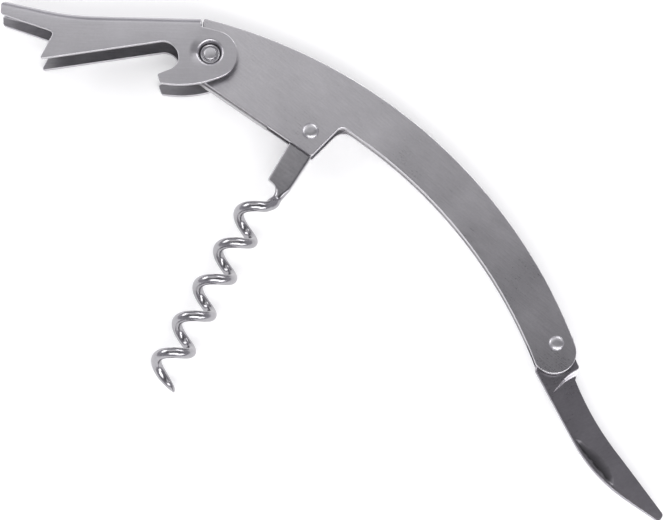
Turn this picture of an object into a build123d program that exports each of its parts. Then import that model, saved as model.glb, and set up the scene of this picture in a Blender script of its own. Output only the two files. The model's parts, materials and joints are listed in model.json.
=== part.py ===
"""Waiters corkscrew: two-plate curved handle, boot lever, worm and folding knife.

It lies on its side, as on a table, with the lever, the worm and the knife all open.
Z runs through the handle's thickness and X from the lever's pivot to the knife's.
"""

import os
from math import acos, atan2, cos, degrees, hypot, pi, radians, sin, sqrt

from build123d import *

os.makedirs("parts", exist_ok=True)

# Driving dimensions, in millimetres and degrees

# Pivots, measured from the lever's pivot
pivot_span = 101.4
worm_pivot_x = 28.4
worm_pivot_y = 1.4

# Handle plates
plate_thickness = 1.1
plate_gap = 2.6
back_height = 18.05
belly_height = 6.0
edge_break = 0.2
front_step_radius = 1.8
back_step_radius = 3.0

# Lever, folded from one sheet
sheet = 1.2
fold_radius = 1.8
lever_length = 47.3
web_distance = 8.1
web_end = 2.2
lever_angle = 219.15
stop_gap = 0.3

# Worm
worm_diameter = 8.3
wire_diameter = 2.4
worm_pitch = 9.5
worm_turns = 5.0
worm_angle = -77.9
worm_offset = -2.4
coil_start = 18.8
tang_width = 5.5

# Knife
blade_thickness = 1.6
blade_length = 45.3
blade_depth = 6.95
blade_angle = -22.0
eye_radius = 4.0
cutting_edge = 0.25

# Rivets and dowels
lever_rivet_radius = 1.4
worm_rivet_radius = 1.3
knife_rivet_radius = 1.2
dowel_radius = 0.8

# Clearances
running_fit = 0.05
side_clearance = 0.1
tang_clearance = 0.2
worm_clearance = 0.15
sweep_clearance = 0.3

# Heights through the thickness, from the surface that it lies on
lever_width = worm_diameter + 2 * (worm_clearance + sheet)
middle = lever_width / 2
inner_face = plate_gap / 2
outer_face = inner_face + plate_thickness
tang_thickness = plate_gap - 2 * tang_clearance


def turned(angle, along, across):
    """Point at a distance along a direction and a distance across it, to its left."""
    a = radians(angle)
    return (along * cos(a) - across * sin(a), along * sin(a) + across * cos(a))


def circle_through(a, b, c):
    """Centre and radius of the circle through three points."""
    ax, ay, bx, by, cx, cy = *a, *b, *c
    d = 2 * (ax * (by - cy) + bx * (cy - ay) + cx * (ay - by))
    sa, sb, sc = ax * ax + ay * ay, bx * bx + by * by, cx * cx + cy * cy
    x = (sa * (by - cy) + sb * (cy - ay) + sc * (ay - by)) / d
    y = (sa * (cx - bx) + sb * (ax - cx) + sc * (bx - ax)) / d
    return (x, y), hypot(ax - x, ay - y)


def on_circle(centre, radius, angle):
    """Point on a circle at an angle."""
    return (centre[0] + radius * cos(radians(angle)), centre[1] + radius * sin(radians(angle)))


def round_corners(sketch, corners):
    """Rounds corners of a sketch: each is a point at the corner and a radius."""
    for corner, radius in corners:
        fillet(sketch.vertices().sort_by_distance(corner)[0], radius)


# The origin is under the middle of the open corkscrew, so the lever's pivot lies beside it.
# The three allowances are how far each limb's outermost point lies across its own length.
nose_flare = 1.44
tip_rise = 1.75
point_rise = 0.45
worm_length = coil_start + worm_turns * worm_pitch
nose_reach = turned(lever_angle, lever_length, -web_distance - nose_flare)
blade_reach = turned(blade_angle, blade_length, tip_rise)
worm_reach = turned(worm_angle, worm_length, point_rise)
lever_x = -(nose_reach[0] + pivot_span + blade_reach[0]) / 2
lever_y = -(back_height + worm_pivot_y + worm_reach[1]) / 2
knife_x = lever_x + pivot_span
knife_y = lever_y
worm_x = lever_x + worm_pivot_x
worm_y = lever_y + worm_pivot_y


def handle_plane(height):
    """Plane at a height with its origin on the lever's pivot and X towards the knife's."""
    return Plane(origin=(lever_x, lever_y, height))


def limb_plane(x, y, angle, height):
    """Plane at a height with its origin on a pivot and X along the limb that turns on it."""
    ahead = turned(angle, 1, 0)
    return Plane(origin=(x, y, height), x_dir=(ahead[0], ahead[1], 0), z_dir=(0, 0, 1))


def pivot_profile(x, y):
    """Upright plane through a pivot: X is the radius and Y the height above the middle."""
    return Plane(origin=(x, y, middle), x_dir=(1, 0, 0), z_dir=(0, -1, 0))


def pivot_axis(x, y):
    """Axis of a pivot."""
    return Axis((x, y, middle), (0, 0, 1))


# Corners of the handle's blank, anticlockwise from the stop under the lever's web
stop_along = web_end - stop_gap
stop_height = 0.65
heel_left_angle = 190
toe_angle = 248
web_inside = web_distance - sheet
heel_radius = web_inside - sweep_clearance
heel_top = turned(lever_angle, stop_along, -web_distance - stop_height)
heel_flat = turned(lever_angle, stop_along, -sqrt(heel_radius**2 - stop_along**2))
heel_left = on_circle((0, 0), heel_radius, heel_left_angle)
toe = on_circle((0, 0), heel_radius, toe_angle)
step_foot = (worm_pivot_x + 3.9, worm_pivot_y - 4.25)
belly_start = (worm_pivot_x + 4.5, worm_pivot_y + 5.45)
belly_middle = (0.65 * pivot_span, belly_height)
belly_end = (pivot_span - 0.4, -6.6)
crown = (0.4525 * pivot_span, back_height)
back_end = (pivot_span + 1.8, 3.3)
end_radius = 4.85
end_blend = 3.4
end_low_angle = -8
plate_corners = [(heel_top, 0.6), (step_foot, 0.4), (belly_end, 0.8), (toe, 0.8), (heel_flat, 0.5)]
belly_centre, belly_radius = circle_through(belly_start, belly_middle, belly_end)
back_centre, back_radius = circle_through(heel_top, crown, back_end)


def belly_angle(x):
    """Angle on the belly's circle of the point at a distance along the handle."""
    return degrees(acos((x - belly_centre[0]) / belly_radius))


def back_angle(x):
    """Angle on the back's circle of the point at a distance along the handle."""
    return degrees(acos((x - back_centre[0]) / back_radius))


# The knife end is an arc tangent to the back's
end_angle = back_angle(pivot_span + end_blend)
end_centre = on_circle(back_centre, back_radius - end_radius, end_angle)
end_high = on_circle(back_centre, back_radius, end_angle)
end_low = on_circle(end_centre, end_radius, end_low_angle)

# Strip springs between the plates
spring_width = 2.2
spring_recess = 0.15
spring_left = worm_pivot_x - 4.4
spring_right = pivot_span - eye_radius - 1.3
bar_proud = 0.35
bar_recess = 0.4
bar_end = worm_pivot_x - 8.1
bar_shoulder = 12.0
dowel_depth = 0.6
spring_centreline = belly_radius + spring_recess + spring_width / 2
dowel_places = [(6.0, 6.5)]
dowel_places += [on_circle(belly_centre, spring_centreline, belly_angle(x)) for x in (46.0, 62.0)]


def plate(height, thickness, step_radius, dowels_from):
    """One handle plate, with its three rivet holes and blind seats for the dowels."""
    with BuildPart() as blank:
        with BuildSketch(handle_plane(height)) as face:
            with BuildLine():
                ThreePointArc(heel_top, crown, end_high)
                ThreePointArc(end_high, end_low, belly_end)
                ThreePointArc(belly_end, belly_middle, belly_start)
                Line(belly_start, step_foot)
                Line(step_foot, toe)
                ThreePointArc(toe, heel_left, heel_flat)
                Line(heel_flat, heel_top)
            make_face()
            round_corners(face, [(belly_start, step_radius), *plate_corners])
            Circle(lever_rivet_radius, mode=Mode.SUBTRACT)
            with Locations((worm_pivot_x, worm_pivot_y)):
                Circle(worm_rivet_radius, mode=Mode.SUBTRACT)
            with Locations((pivot_span, 0)):
                Circle(knife_rivet_radius, mode=Mode.SUBTRACT)
        extrude(amount=thickness)
        with BuildSketch(handle_plane(dowels_from)):
            with Locations(*dowel_places):
                Circle(dowel_radius)
        extrude(amount=dowel_depth, mode=Mode.SUBTRACT)
    return blank


# Front and back plates: matching stamped blanks, the back one with a rounder inner corner
front_base = middle + inner_face
front_plate = plate(front_base, plate_thickness, front_step_radius, front_base)
with front_plate:
    fillet(front_plate.faces().sort_by(Axis.Z)[-1].outer_wire().edges(), edge_break)
front_plate.part.label = "front_plate"
export_step(front_plate.part, "parts/front_plate.step")

back_base = middle - outer_face
back_plate = plate(back_base, plate_thickness, back_step_radius, middle - inner_face - dowel_depth)
with back_plate:
    fillet(back_plate.faces().sort_by(Axis.Z)[0].outer_wire().edges(), edge_break)
back_plate.part.label = "back_plate"
export_step(back_plate.part, "parts/back_plate.step")

# Spacer bar: fills the lever end between the plates and shows as a strip along the underside
under_angle = degrees(atan2(step_foot[1] - toe[1], step_foot[0] - toe[0]))
under_run = (bar_end - toe[0]) / cos(radians(under_angle))
bar_setback = 1.2
bar_tail_height = 1.8
bar_fillet = 4.0
bar_left_foot = tuple(a + b for a, b in zip(toe, turned(under_angle, bar_setback, -bar_proud)))
bar_right_foot = tuple(a + b for a, b in zip(toe, turned(under_angle, under_run, -bar_proud)))
bar_tail = tuple(a + b for a, b in zip(toe, turned(under_angle, under_run, bar_tail_height)))
shoulder_low = (bar_shoulder + 1.5, bar_tail[1] - 0.4)
shoulder_high = on_circle(back_centre, back_radius - bar_recess, back_angle(bar_shoulder))
bar_top = on_circle(back_centre, back_radius - bar_recess, back_angle(3.0))
bar_corner = on_circle(back_centre, back_radius - bar_recess, back_angle(-5.0))
bar_heel = [on_circle((0, 0), heel_radius - bar_recess, a) for a in (150, 190, 230)]
with BuildPart() as spacer_bar:
    with BuildSketch(handle_plane(middle - inner_face)) as bar_face:
        with BuildLine():
            Polyline(bar_heel[2], bar_left_foot, bar_right_foot, bar_tail, shoulder_low, shoulder_high)
            ThreePointArc(shoulder_high, bar_top, bar_corner)
            Line(bar_corner, bar_heel[0])
            ThreePointArc(*bar_heel)
        make_face()
        round_corners(bar_face, [(shoulder_low, bar_fillet)])
        Circle(lever_rivet_radius, mode=Mode.SUBTRACT)
        with Locations(dowel_places[0]):
            Circle(dowel_radius, mode=Mode.SUBTRACT)
    extrude(amount=plate_gap)
spacer_bar.part.label = "spacer_bar"
export_step(spacer_bar.part, "parts/spacer_bar.step")

# Back spring: strip between the plates along the belly, from the knife's eye to over the worm's
spring_low = belly_radius + spring_recess
spring_high = spring_low + spring_width
spring_ends = (belly_angle(spring_left), belly_angle(spring_right))
spring_angles = (spring_ends[0], sum(spring_ends) / 2, spring_ends[1])
with BuildPart() as back_spring:
    with BuildSketch(handle_plane(middle - inner_face)):
        with BuildLine():
            outside = ThreePointArc(*[on_circle(belly_centre, spring_low, a) for a in spring_angles])
            inside = ThreePointArc(*[on_circle(belly_centre, spring_high, a) for a in spring_angles])
            Line(outside @ 0, inside @ 0)
            Line(outside @ 1, inside @ 1)
        make_face()
        with Locations(*dowel_places[1:]):
            Circle(dowel_radius, mode=Mode.SUBTRACT)
    extrude(amount=plate_gap)
back_spring.part.label = "back_spring"
export_step(back_spring.part, "parts/back_spring.step")

# Dowels: blind pins that hold the two strips between the plates
with BuildPart() as spring_dowels:
    with BuildSketch(handle_plane(middle - inner_face - dowel_depth)):
        with Locations(*dowel_places):
            Circle(dowel_radius)
    extrude(amount=plate_gap + 2 * dowel_depth)
spring_dowels.part.label = "spring_dowels"
export_step(spring_dowels.part, "parts/spring_dowels.step")

# Lever: one sheet folded to a channel, with a boot at one end and a cap lifter under its pivot
flare_start = 26.0
flare_radius = 57.0
flare_turn = 11.2
nose_radius = 1.6
flange_radius = lever_rivet_radius + 0.9
dimple_flat = flange_radius + 0.3
dimple_rim = dimple_flat + 1.4
dimple_wall = 0.75
dimple_skin = 1.1
dimple_floor = outer_face + side_clearance
ear_hole = lever_rivet_radius + running_fit
hook_inner = (11.75, 5.35)
hook_outer = (10.9, 7.4)
hollow_low = (11.6, -2.15)
hollow_middle = (7.1, 1.6)
hollow_high = (8.3, 3.9)
notch_root = (lever_length - 12.17, -3.94)
claw = (lever_length - 9.05, 2.52)
lip = (lever_length, -7.88)
crest_middle = (3.6, 7.45)
crest_end = (-3.6, 5.15)
eye_middle = (-6.15, 0.8)
eye_end = (-2.4, -4.85)
ear_foot = (web_end, -5.95)
ear_corners = [(lip, 1.0), (notch_root, 0.9), (claw, 0.45), (hollow_low, 0.6)]
ear_corners += [(hook_inner, 0.5), (hook_outer, 0.6), (ear_foot, 1.0)]


def lever_plane(height):
    """Plane at a height with its origin on the lever's pivot and X along the lever."""
    return limb_plane(lever_x, lever_y, lever_angle, height)


def web_line(inset, nose):
    """Line of the web, at an inset from its outer face, from its cut end to the nose."""
    run = Line((web_end, inset - web_distance), (flare_start, inset - web_distance))
    flare = JernArc(start=run @ 1, tangent=(1, 0), radius=flare_radius + inset, arc_size=-flare_turn)
    slope = (flare % 1).Y / (flare % 1).X
    return Line(flare @ 1, (nose, (flare @ 1).Y + slope * (nose - (flare @ 1).X))) @ 1


def is_fold(edge):
    """True for the long outer edges of the blank that the sheet folds over."""
    at = lever_plane(middle).to_local_coords(edge @ 0.5)
    return abs(at.Z) > middle - 0.01 and at.Y < 0.01 - web_distance and at.X < lever_length - 0.01


with BuildPart() as lever:
    with BuildSketch(lever_plane(0)) as ear:
        with BuildLine():
            nose = web_line(0, lever_length)
            Polyline(nose, lip, notch_root, claw, hollow_low)
            ThreePointArc(hollow_low, hollow_middle, hollow_high)
            Polyline(hollow_high, hook_inner, hook_outer)
            ThreePointArc(hook_outer, crest_middle, crest_end)
            ThreePointArc(crest_end, eye_middle, eye_end)
            Polyline(eye_end, ear_foot, (web_end, -web_distance))
        make_face()
        round_corners(ear, ear_corners)
    extrude(amount=lever_width)
    fillet(lever.edges().filter_by(is_fold), fold_radius)
    with BuildSketch(lever_plane(sheet)):
        with BuildLine():
            beyond = web_line(sheet, lever_length + 10)
            web_foot = (web_end, sheet - web_distance)
            Polyline(beyond, (beyond.X, 20), (-20, 20), (-20, web_foot[1]), web_foot)
        make_face()
    extrude(amount=lever_width - 2 * sheet, mode=Mode.SUBTRACT)
    with BuildSketch(lever_plane(0)):
        with BuildLine():
            back_step = Vector(-cos(radians(flare_turn)), sin(radians(flare_turn))) * nose_radius
            down_step = Vector(0, nose_radius)
            RadiusArc(nose + back_step, nose + down_step, nose_radius)
            Polyline(nose + down_step, nose + Vector(1, -1), nose + back_step)
        make_face()
    extrude(amount=lever_width, mode=Mode.SUBTRACT)
    with BuildSketch(lever_plane(0)):
        Circle(dimple_rim)
    extrude(amount=lever_width, mode=Mode.SUBTRACT)
    with BuildSketch(pivot_profile(lever_x, lever_y)):
        with BuildLine():
            skin_top = dimple_floor + dimple_skin
            half = lever_width / 2
            rim_foot = dimple_rim + dimple_wall
            Polyline(
                (ear_hole, dimple_floor),
                (dimple_flat + dimple_wall, dimple_floor),
                (rim_foot, half - sheet),
                (rim_foot, half),
                (dimple_rim, half),
                (dimple_flat, skin_top),
                (ear_hole, skin_top),
                close=True,
            )
        make_face()
        mirror(about=Plane.XZ)
    revolve(axis=pivot_axis(lever_x, lever_y))
lever.part.label = "lever"
export_step(lever.part, "parts/lever.step")

# Lever rivet: headed pin with a raised button inside a flange at each end
button_radius = lever_rivet_radius + 0.1
button_height = 0.8
button_bevel = 0.2
flange_height = 0.42
flange_bevel = 0.12
groove_height = 0.2
groove_width = 0.2
groove_top = 0.35
head_base = dimple_floor + dimple_skin + side_clearance
with BuildPart() as lever_rivet:
    with BuildSketch(pivot_profile(lever_x, lever_y)):
        with BuildLine():
            Polyline(
                (0, 0),
                (lever_rivet_radius, 0),
                (lever_rivet_radius, head_base),
                (flange_radius, head_base),
                (flange_radius, head_base + flange_height - flange_bevel),
                (flange_radius - flange_bevel, head_base + flange_height),
                (button_radius + groove_top, head_base + flange_height),
                (button_radius + groove_width, head_base + groove_height),
                (button_radius, head_base + groove_height),
                (button_radius, head_base + button_height - button_bevel),
                (button_radius - button_bevel, head_base + button_height),
                (0, head_base + button_height),
                close=True,
            )
        make_face()
        mirror(about=Plane.XZ)
    revolve(axis=pivot_axis(lever_x, lever_y))
lever_rivet.part.label = "lever_rivet"
export_step(lever_rivet.part, "parts/lever_rivet.step")


dome_start = (-0.25, 1)
worm_head = (worm_rivet_radius + 0.55, 0.6, 0.85)
knife_head = (knife_rivet_radius + 0.5, 0.55, 0.7)


def domed_rivet(x, y, shank, sizes):
    """Rivet through both plates, domed at both ends: sizes are a head's radius, height and flat."""
    head, height, flat = sizes
    with BuildPart() as rivet:
        with BuildSketch(pivot_profile(x, y)):
            with BuildLine():
                Polyline((0, 0), (shank, 0), (shank, outer_face), (head, outer_face))
                TangentArc((head, outer_face), (flat, outer_face + height), tangent=dome_start)
                Polyline((flat, outer_face + height), (0, outer_face + height), (0, 0))
            make_face()
            mirror(about=Plane.XZ)
        revolve(axis=pivot_axis(x, y))
    return rivet


# Rivets that the worm and the knife turn on
worm_rivet = domed_rivet(worm_x, worm_y, worm_rivet_radius, worm_head)
worm_rivet.part.label = "worm_rivet"
export_step(worm_rivet.part, "parts/worm_rivet.step")
knife_rivet = domed_rivet(knife_x, knife_y, knife_rivet_radius, knife_head)
knife_rivet.part.label = "knife_rivet"
export_step(knife_rivet.part, "parts/knife_rivet.step")

# Knife washers: rings that centre the blade between the plates
washer_margin = 0.8
washer_thickness = (plate_gap - blade_thickness) / 2 - running_fit
with BuildPart() as knife_washers:
    for base in (middle - inner_face, middle + inner_face - washer_thickness):
        with BuildSketch(handle_plane(base)):
            with Locations((pivot_span, 0)):
                Circle(eye_radius - washer_margin)
                Circle(knife_rivet_radius, mode=Mode.SUBTRACT)
        extrude(amount=washer_thickness)
knife_washers.part.label = "knife_washers"
export_step(knife_washers.part, "parts/knife_washers.step")

# Worm: round wire with a ground point, forged flat at the top into a tang with a hole
coil_radius = (worm_diameter - wire_diameter) / 2
wire_radius = wire_diameter / 2
lead_in = 30.0
point_turn = 110.0
point_share = 0.8
point_power = 1.5
tang_side = tang_width / 2
tang_top = -3.9
tang_round = 1.6
tang_edge = [(tang_top, tang_side), (6.0, tang_side), (11.5, 2.4), (14.1, 2.2), (16.6, 1.75)]
tang_end = (16.6, -0.5)
scallop = (14.75, -1.0)
shoulder = (13.95, -3.15)
tang_back = [shoulder, (4.5, -tang_side - 0.35), (0, -tang_side), (tang_top, -tang_side)]
neck_start = coil_start - 3.6


def worm_plane(height):
    """Plane at a height with its origin on the worm's pivot and X along the worm."""
    return limb_plane(worm_x, worm_y, worm_angle, height)


def coil_plane(turn):
    """Plane across the coil's axis at a turn in degrees, with X through the wire there."""
    frame = worm_plane(middle)
    ahead, across, up = frame.x_dir, frame.y_dir, frame.z_dir
    axis_point = frame.origin + ahead * (coil_start + worm_pitch * turn / 360) + across * worm_offset
    outward = across * cos(radians(turn)) + up * sin(radians(turn))
    return Plane(origin=axis_point, x_dir=outward, z_dir=ahead)


even_turn = 360 * worm_turns - point_turn - lead_in
coil = coil_plane(lead_in) * Helix(worm_pitch, worm_pitch * even_turn / 360, coil_radius)
with BuildPart() as worm:
    with BuildSketch(worm_plane(middle)) as tang:
        with BuildLine():
            Polyline(*tang_edge, tang_end)
            ThreePointArc(tang_end, scallop, shoulder)
            Polyline(*tang_back, tang_edge[0])
        make_face()
        round_corners(tang, [(tang_edge[0], tang_round), (tang_back[-1], tang_round)])
        Circle(worm_rivet_radius + running_fit, mode=Mode.SUBTRACT)
    extrude(amount=tang_thickness / 2, both=True)
    with BuildSketch(Plane(origin=coil @ 0, z_dir=coil % 0)):
        Circle(wire_radius)
    sweep(path=coil, is_frenet=True)
    neck_from = worm_plane(middle).from_local_coords(Vector(neck_start, worm_offset + coil_radius, 0))
    with BuildLine() as neck:
        Spline(neck_from, coil @ 0, tangents=(worm_plane(middle).x_dir, coil % 0))
    with BuildSketch(Plane(origin=neck.line @ 0, z_dir=neck.line % 0)):
        Circle(wire_radius)
    sweep(path=neck.line)
    for share in (0, 0.2, 0.4, 0.6, 0.8, 1):
        turn = 360 * worm_turns - point_turn * (1 - share)
        here = coil_plane(turn)
        tangent = here.y_dir * coil_radius + here.z_dir * worm_pitch / (2 * pi)
        thin = wire_radius * (1 - point_share * share**point_power)
        centre = here.origin + here.x_dir * (coil_radius + wire_radius - thin)
        with BuildSketch(Plane(origin=centre, z_dir=tangent)):
            Circle(thin)
    loft()
worm.part.label = "worm"
export_step(worm.part, "parts/worm.step")

# Knife blade: flat ground from a plunge line, with a nail nick on the front face
plunge = 8.9
tip_low = (blade_length + 0.35, 1.35)
tip_high = (blade_length - 0.65, 3.05)
heel_corner = (6.8, 2.1)
tang_corner = (3.1, -blade_depth)
eye_foot = (-3.2, -2.4)
nick_ends = [(20.5, -6.2), (34.2, -3.6)]
nick_bulge = (27.9, -2.9)
nick_waist = (28.4, -5.2)
nick_depth = 0.45
spine_run = 21.0
spine_radius = 36.1
spine_turn = 28
heel_notch = (plunge, 0.1)
edge_middle = (19.0, -0.33)
edge_end = (29.0, 0.75)
eye_top = (3.2, 2.4)
blade_corners = [(tip_high, 1.1), (tip_low, 0.9), (heel_corner, 0.5), (heel_notch, 0.5)]
blade_corners += [(tang_corner, 0.5)]
cut_over = 0.5
grind_stations = [(plunge, -6.3, 0.6), (20.0, -6.4, 0.4), (30.0, -5.2, 1.6)]
grind_stations += [(blade_length + 2, 0.8, 4.6)]


def knife_plane(height):
    """Plane at a height with its origin on the knife's pivot and X along the blade."""
    return limb_plane(knife_x, knife_y, blade_angle, height)


with BuildPart() as knife_blade:
    with BuildSketch(knife_plane(middle)) as blade:
        with BuildLine():
            spine_end = (spine_run, -blade_depth)
            Line(tang_corner, spine_end)
            spine = JernArc(spine_end, tangent=(1, 0), radius=spine_radius, arc_size=spine_turn)
            Polyline(spine @ 1, tip_low, tip_high, edge_end)
            ThreePointArc(edge_end, edge_middle, heel_notch)
            Polyline(heel_notch, heel_corner, eye_top)
            ThreePointArc(eye_top, (-eye_radius * 0.8, eye_radius * 0.6), (-eye_radius, 0))
            ThreePointArc((-eye_radius, 0), (-eye_radius * 0.92, -eye_radius * 0.4), eye_foot)
            Line(eye_foot, tang_corner)
        make_face()
        round_corners(blade, blade_corners)
        Circle(knife_rivet_radius + running_fit, mode=Mode.SUBTRACT)
    extrude(amount=blade_thickness / 2, both=True)
    for along, back, edge in grind_stations:
        across = Plane(
            origin=knife_plane(middle).from_local_coords(Vector(along, 0, 0)),
            x_dir=knife_plane(0).y_dir,
            z_dir=knife_plane(0).x_dir,
        )
        with BuildSketch(across):
            with BuildLine():
                half = blade_thickness / 2
                top = half + cut_over
                Polyline((back, half), (edge, cutting_edge / 2), (edge, top), (back, top), close=True)
            make_face()
    loft(mode=Mode.SUBTRACT)
    mirror(about=knife_plane(middle), mode=Mode.INTERSECT)
    with BuildSketch(knife_plane(middle + blade_thickness / 2)):
        with BuildLine():
            ThreePointArc(nick_ends[0], nick_bulge, nick_ends[1])
            ThreePointArc(nick_ends[1], nick_waist, nick_ends[0])
        make_face()
    extrude(amount=-nick_depth, mode=Mode.SUBTRACT)
knife_blade.part.label = "knife_blade"
export_step(knife_blade.part, "parts/knife_blade.step")
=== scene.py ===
import json
from math import cos, pi, radians, sin

import bmesh
import bpy
import numpy as np
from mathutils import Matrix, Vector
from mathutils.geometry import delaunay_2d_cdt


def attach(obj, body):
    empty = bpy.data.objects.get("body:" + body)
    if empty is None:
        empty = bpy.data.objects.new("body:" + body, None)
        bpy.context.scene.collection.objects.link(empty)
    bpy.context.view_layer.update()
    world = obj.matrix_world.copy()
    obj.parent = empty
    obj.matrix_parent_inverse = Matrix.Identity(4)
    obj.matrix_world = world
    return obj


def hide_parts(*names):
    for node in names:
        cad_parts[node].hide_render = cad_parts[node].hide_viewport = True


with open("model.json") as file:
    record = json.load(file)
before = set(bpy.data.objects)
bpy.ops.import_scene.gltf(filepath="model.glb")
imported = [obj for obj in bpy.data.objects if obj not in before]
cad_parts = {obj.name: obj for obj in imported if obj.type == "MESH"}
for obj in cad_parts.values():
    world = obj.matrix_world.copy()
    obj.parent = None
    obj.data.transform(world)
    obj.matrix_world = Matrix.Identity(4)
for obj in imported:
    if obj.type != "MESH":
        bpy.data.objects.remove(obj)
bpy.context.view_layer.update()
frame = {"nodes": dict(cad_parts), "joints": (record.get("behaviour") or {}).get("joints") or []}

# ---------------------------------------------------------------- table, light and camera
# A white sheet, lit a little from below, under a large key box on the camera's side, low
# boxes round it and a small panel overhead. The room is dim at the top, so that flat metal
# looks mid grey, and bright low down, so that round metal gets light edges.
MM = 0.001
VIEW_SIDE = radians(40.6)
VIEW_HEIGHT = radians(76.7)
VIEW_DISTANCE = 1.15
VIEW_TARGET = Vector((0.708, 4.623, 8.1)) * MM
LENS = 280.6


def direction(side, height):
    """Unit vector at a side angle round the object and a height above the horizon."""
    return Vector((sin(side) * cos(height), -cos(side) * cos(height), sin(height)))


camera_data = bpy.data.cameras.new("camera")
camera_data.lens = LENS
camera_data.sensor_width = 36.0
camera_data.clip_start = 0.05
camera_data.clip_end = 50.0
camera = bpy.data.objects.new("camera", camera_data)
bpy.context.scene.collection.objects.link(camera)
camera.rotation_mode = "QUATERNION"
camera.location = VIEW_TARGET + direction(VIEW_SIDE, VIEW_HEIGHT) * VIEW_DISTANCE
camera.rotation_quaternion = (-direction(VIEW_SIDE, VIEW_HEIGHT)).to_track_quat("-Z", "Y")
bpy.context.scene.camera = camera
bpy.context.scene.view_settings.view_transform = "Standard"

world = bpy.data.worlds.new("studio")
bpy.context.scene.world = world
world.use_nodes = True
sky = world.node_tree
sky_place = sky.nodes.new("ShaderNodeTexCoord")
sky_split = sky.nodes.new("ShaderNodeSeparateXYZ")
sky_ramp = sky.nodes.new("ShaderNodeValToRGB")
sky_ramp.color_ramp.elements[0].position = 0.0
sky_ramp.color_ramp.elements[0].color = (0.55, 0.54, 0.58, 1)
sky_ramp.color_ramp.elements[1].position = 1.0
sky_ramp.color_ramp.elements[1].color = (0.13, 0.128, 0.138, 1)
WARM, COOL = 0.985, 1.06
for height, grey in ((0.5, 0.40), (0.85, 0.20)):
    sky_ramp.color_ramp.elements.new(height).color = (grey, grey * WARM, grey * COOL, 1)
sky.links.new(sky_place.outputs["Generated"], sky_split.inputs[0])
sky.links.new(sky_split.outputs["Z"], sky_ramp.inputs["Fac"])
sky.links.new(sky_ramp.outputs["Color"], sky.nodes["Background"].inputs["Color"])
sky.nodes["Background"].inputs["Strength"].default_value = 1.0

# Each box's name, place, width and height in metres, and power in watts
SOFT_BOXES = (
    ("key", (0.273, -0.318, 0.622), 0.60, 0.38, 2.6),
    ("box_left", (-0.50, -0.10, 0.34), 0.42, 0.20, 1.0),
    ("box_right", (0.50, -0.10, 0.34), 0.42, 0.20, 1.1),
    ("box_back", (-0.10, 0.52, 0.36), 0.35, 0.18, 0.8),
    ("panel", (-0.20, 0.14, 0.34), 0.31, 0.28, 0.205),
)
for name, spot, wide, tall, watts in SOFT_BOXES:
    lamp = bpy.data.lights.new(name, "AREA")
    lamp.shape = "RECTANGLE"
    lamp.size = wide
    lamp.size_y = tall
    lamp.energy = watts
    holder = bpy.data.objects.new(name, lamp)
    bpy.context.scene.collection.objects.link(holder)
    holder.location = spot
    holder.rotation_mode = "QUATERNION"
    holder.rotation_quaternion = Vector(spot).to_track_quat("Z", "Y")

FLOOR_REACH = 4.0
FLOOR_DROP = 0.1 * MM
corners = ((-1, -1), (1, -1), (1, 1), (-1, 1))
floor_mesh = bpy.data.meshes.new("floor")
floor_points = [(x * FLOOR_REACH, y * FLOOR_REACH, -FLOOR_DROP) for x, y in corners]
floor_mesh.from_pydata(floor_points, [], [(0, 1, 2, 3)])
floor = bpy.data.objects.new("floor", floor_mesh)
bpy.context.scene.collection.objects.link(floor)
floor_paint = bpy.data.materials.new("floor_paint")
floor_paint.use_nodes = True
floor_shader = floor_paint.node_tree.nodes["Principled BSDF"]
floor_shader.inputs["Base Color"].default_value = (0.93, 0.93, 0.93, 1)
floor_shader.inputs["Roughness"].default_value = 0.9
floor_shader.inputs["Emission Color"].default_value = (1, 1, 1, 1)
floor_shader.inputs["Emission Strength"].default_value = 0.22
floor_mesh.materials.append(floor_paint)

# ---------------------------------------------------------------- handle plates
# Two matching plates of stainless sheet, stamped, rolled flat and brushed lengthways.
# Their outer edges are broken by tumbling, and a painted highlight makes them brighter than the faces.


def node_group(name, inputs, outputs):
    """Empty shader group with the named inputs and outputs: each is (name, kind, value)."""
    tree = bpy.data.node_groups.new(name, "ShaderNodeTree")
    for label, kind, value in inputs:
        socket = tree.interface.new_socket(label, in_out="INPUT", socket_type=kind)
        if value is not None:
            socket.default_value = value
    for label, kind in outputs:
        tree.interface.new_socket(label, in_out="OUTPUT", socket_type=kind)
    return tree, tree.nodes.new("NodeGroupInput"), tree.nodes.new("NodeGroupOutput")


def math_node(tree, operation, a, b):
    """Math node in a tree: each operand is a socket or a number."""
    node = tree.nodes.new("ShaderNodeMath")
    node.operation = operation
    for slot, operand in zip(node.inputs, (a, b)):
        if isinstance(operand, (int, float)):
            slot.default_value = operand
        else:
            tree.links.new(operand, slot)
    return node.outputs[0]


# Brushing: noise stretched along the strokes, in two widths, as a value from 0 to 1
brushing, brush_in, brush_out = node_group(
    "brushing",
    [
        ("Vector", "NodeSocketVector", None),
        ("Stroke", "NodeSocketFloat", 6.0),
        ("Width", "NodeSocketFloat", 0.2),
    ],
    [("Grain", "NodeSocketFloat"), ("Strokes", "NodeSocketFloat")],
)
per_stroke = math_node(brushing, "DIVIDE", 1 / MM, brush_in.outputs["Stroke"])
per_width = math_node(brushing, "DIVIDE", 1 / MM, brush_in.outputs["Width"])
brush_scale = brushing.nodes.new("ShaderNodeCombineXYZ")
brushing.links.new(per_stroke, brush_scale.inputs["X"])
brushing.links.new(per_width, brush_scale.inputs["Y"])
brushing.links.new(per_width, brush_scale.inputs["Z"])
stretched = brushing.nodes.new("ShaderNodeVectorMath")
stretched.operation = "MULTIPLY"
brushing.links.new(brush_in.outputs["Vector"], stretched.inputs[0])
brushing.links.new(brush_scale.outputs[0], stretched.inputs[1])
streaks = brushing.nodes.new("ShaderNodeTexNoise")
streaks.inputs["Scale"].default_value = 1.0
streaks.inputs["Detail"].default_value = 3.0
streaks.inputs["Roughness"].default_value = 0.65
brushing.links.new(stretched.outputs[0], streaks.inputs["Vector"])
speckle = brushing.nodes.new("ShaderNodeTexNoise")
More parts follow.
